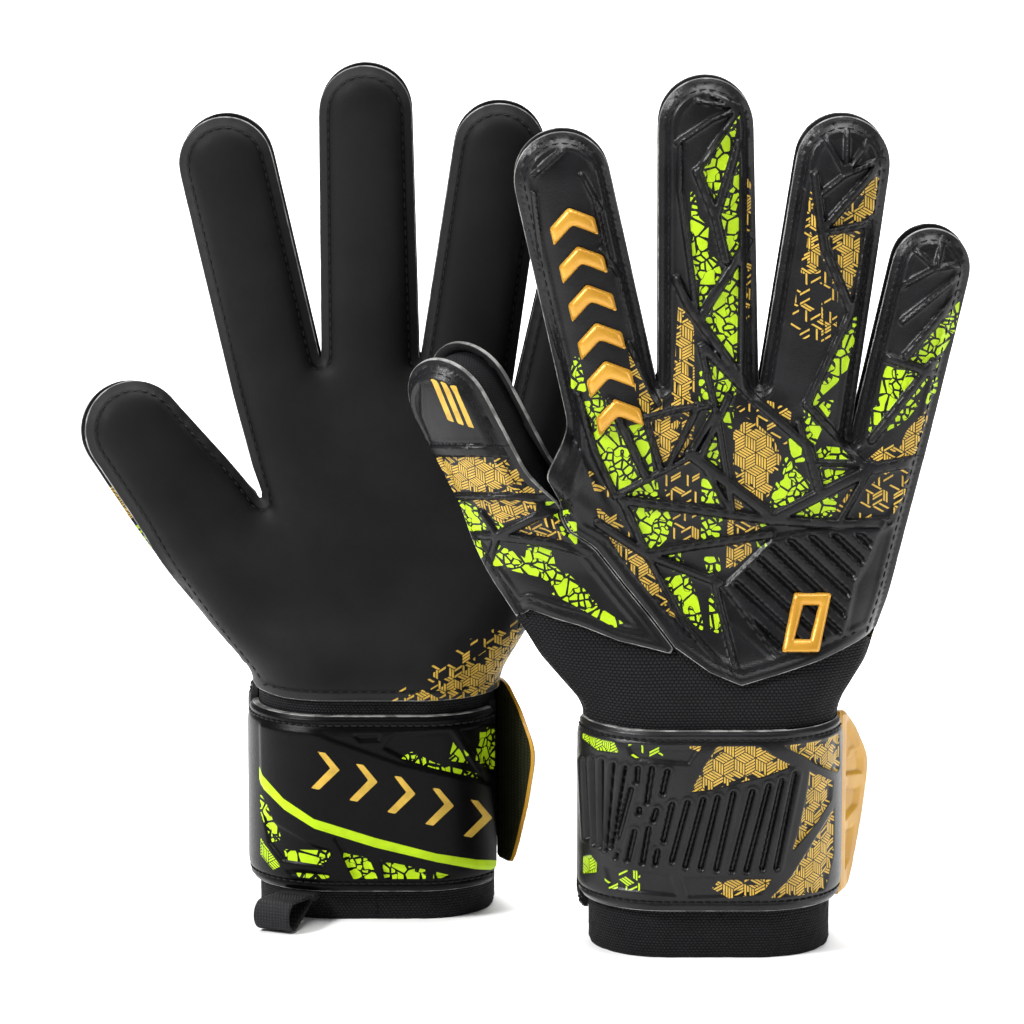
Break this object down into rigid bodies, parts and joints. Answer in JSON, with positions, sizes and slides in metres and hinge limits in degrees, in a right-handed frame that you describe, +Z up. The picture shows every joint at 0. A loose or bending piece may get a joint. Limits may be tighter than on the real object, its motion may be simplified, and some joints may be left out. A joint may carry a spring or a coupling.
{
  "type": "goalkeeper gloves",
  "caption": "Pair of padded goalkeeper gloves, standing on open knit cuffs, with hook-and-loop wrist straps that open, pull tabs and pull loops.",
  "frame": {"origin": "centre of the pair's footprint, on the floor that the cuffs stand on", "axes": "+X from the left glove to the right glove, +Y away from the viewer of the right glove's back, +Z up along the fingers"},
  "size_m": [0.2866, 0.11, 0.2802],
  "materials": {
    "latex_palm": "matte foamed latex",
    "embossed_foam": "satin skin on embossed foam, printed yellow-green and gold",
    "knit": "textured knit",
    "elastic_knit": "ribbed elastic knit",
    "lining": "soft jersey",
    "gusset_foam": "matte foam",
    "loop_pile": "loop pile",
    "hooks": "moulded hooks",
    "webbing": "woven webbing",
    "gold_rubber": "moulded satin",
    "gold_badge": "moulded satin"
  },
  "bodies": {
    "left_glove": {"left_palm": "latex_palm", "left_backhand": "embossed_foam", "left_thumb_panel": "embossed_foam", "left_knit_panel": "knit", "left_palm_lining": "lining", "left_back_lining": "lining", "left_gusset_thumb_outer": "gusset_foam", "left_gusset_thumb_index": "gusset_foam", "left_gusset_index_middle": "gusset_foam", "left_gusset_middle_ring": "gusset_foam", "left_gusset_ring_little": "gusset_foam", "left_gusset_little_outer": "gusset_foam", "left_wrist_cuff": "elastic_knit", "left_strap_fixed": "embossed_foam", "left_loop_patch": "loop_pile", "left_loop_tail": "webbing", "left_index_badge": "gold_badge", "left_back_badge": "gold_badge"},
    "left_strap": {"left_strap_free": "embossed_foam", "left_pull_tab": "gold_rubber", "left_hook_patch": "hooks"},
    "left_loop": {"left_pull_loop": "webbing"},
    "right_glove": {"right_palm": "latex_palm", "right_backhand": "embossed_foam", "right_thumb_panel": "embossed_foam", "right_knit_panel": "knit", "right_palm_lining": "lining", "right_back_lining": "lining", "right_gusset_thumb_outer": "gusset_foam", "right_gusset_thumb_index": "gusset_foam", "right_gusset_index_middle": "gusset_foam", "right_gusset_middle_ring": "gusset_foam", "right_gusset_ring_little": "gusset_foam", "right_gusset_little_outer": "gusset_foam", "right_wrist_cuff": "elastic_knit", "right_strap_fixed": "embossed_foam", "right_loop_patch": "loop_pile", "right_loop_tail": "webbing", "right_index_badge": "gold_badge", "right_back_badge": "gold_badge"},
    "right_strap": {"right_strap_free": "embossed_foam", "right_pull_tab": "gold_rubber", "right_hook_patch": "hooks"},
    "right_loop": {"right_pull_loop": "webbing"}
  },
  "joints": [
    {"name": "right_glove_lift", "type": "slide", "parent": "left_glove", "child": "right_glove", "axis": [0, -0.5, 0.866], "range_m": [0, 0.32]},
    {"name": "left_strap_open", "type": "hinge", "parent": "left_glove", "child": "left_strap", "pos_m": [-0.09035, 0.0242, 0.0455], "axis": [0, 0, 1], "range_deg": [0, 110]},
    {"name": "left_loop_swing", "type": "hinge", "parent": "left_glove", "child": "left_loop", "pos_m": [-0.07366, -0.00628, 0.0082], "axis": [-0.9135, 0.4067, 0], "range_deg": [0, 80]},
    {"name": "right_strap_open", "type": "hinge", "parent": "right_glove", "child": "right_strap", "pos_m": [0.01835, -0.0242, 0.0455], "axis": [0, 0, -1], "range_deg": [0, 110]},
    {"name": "right_loop_swing", "type": "hinge", "parent": "right_glove", "child": "right_loop", "pos_m": [0.03504, 0.00628, 0.0082], "axis": [0.9135, 0.4067, 0], "range_deg": [0, 80]}
  ]
}
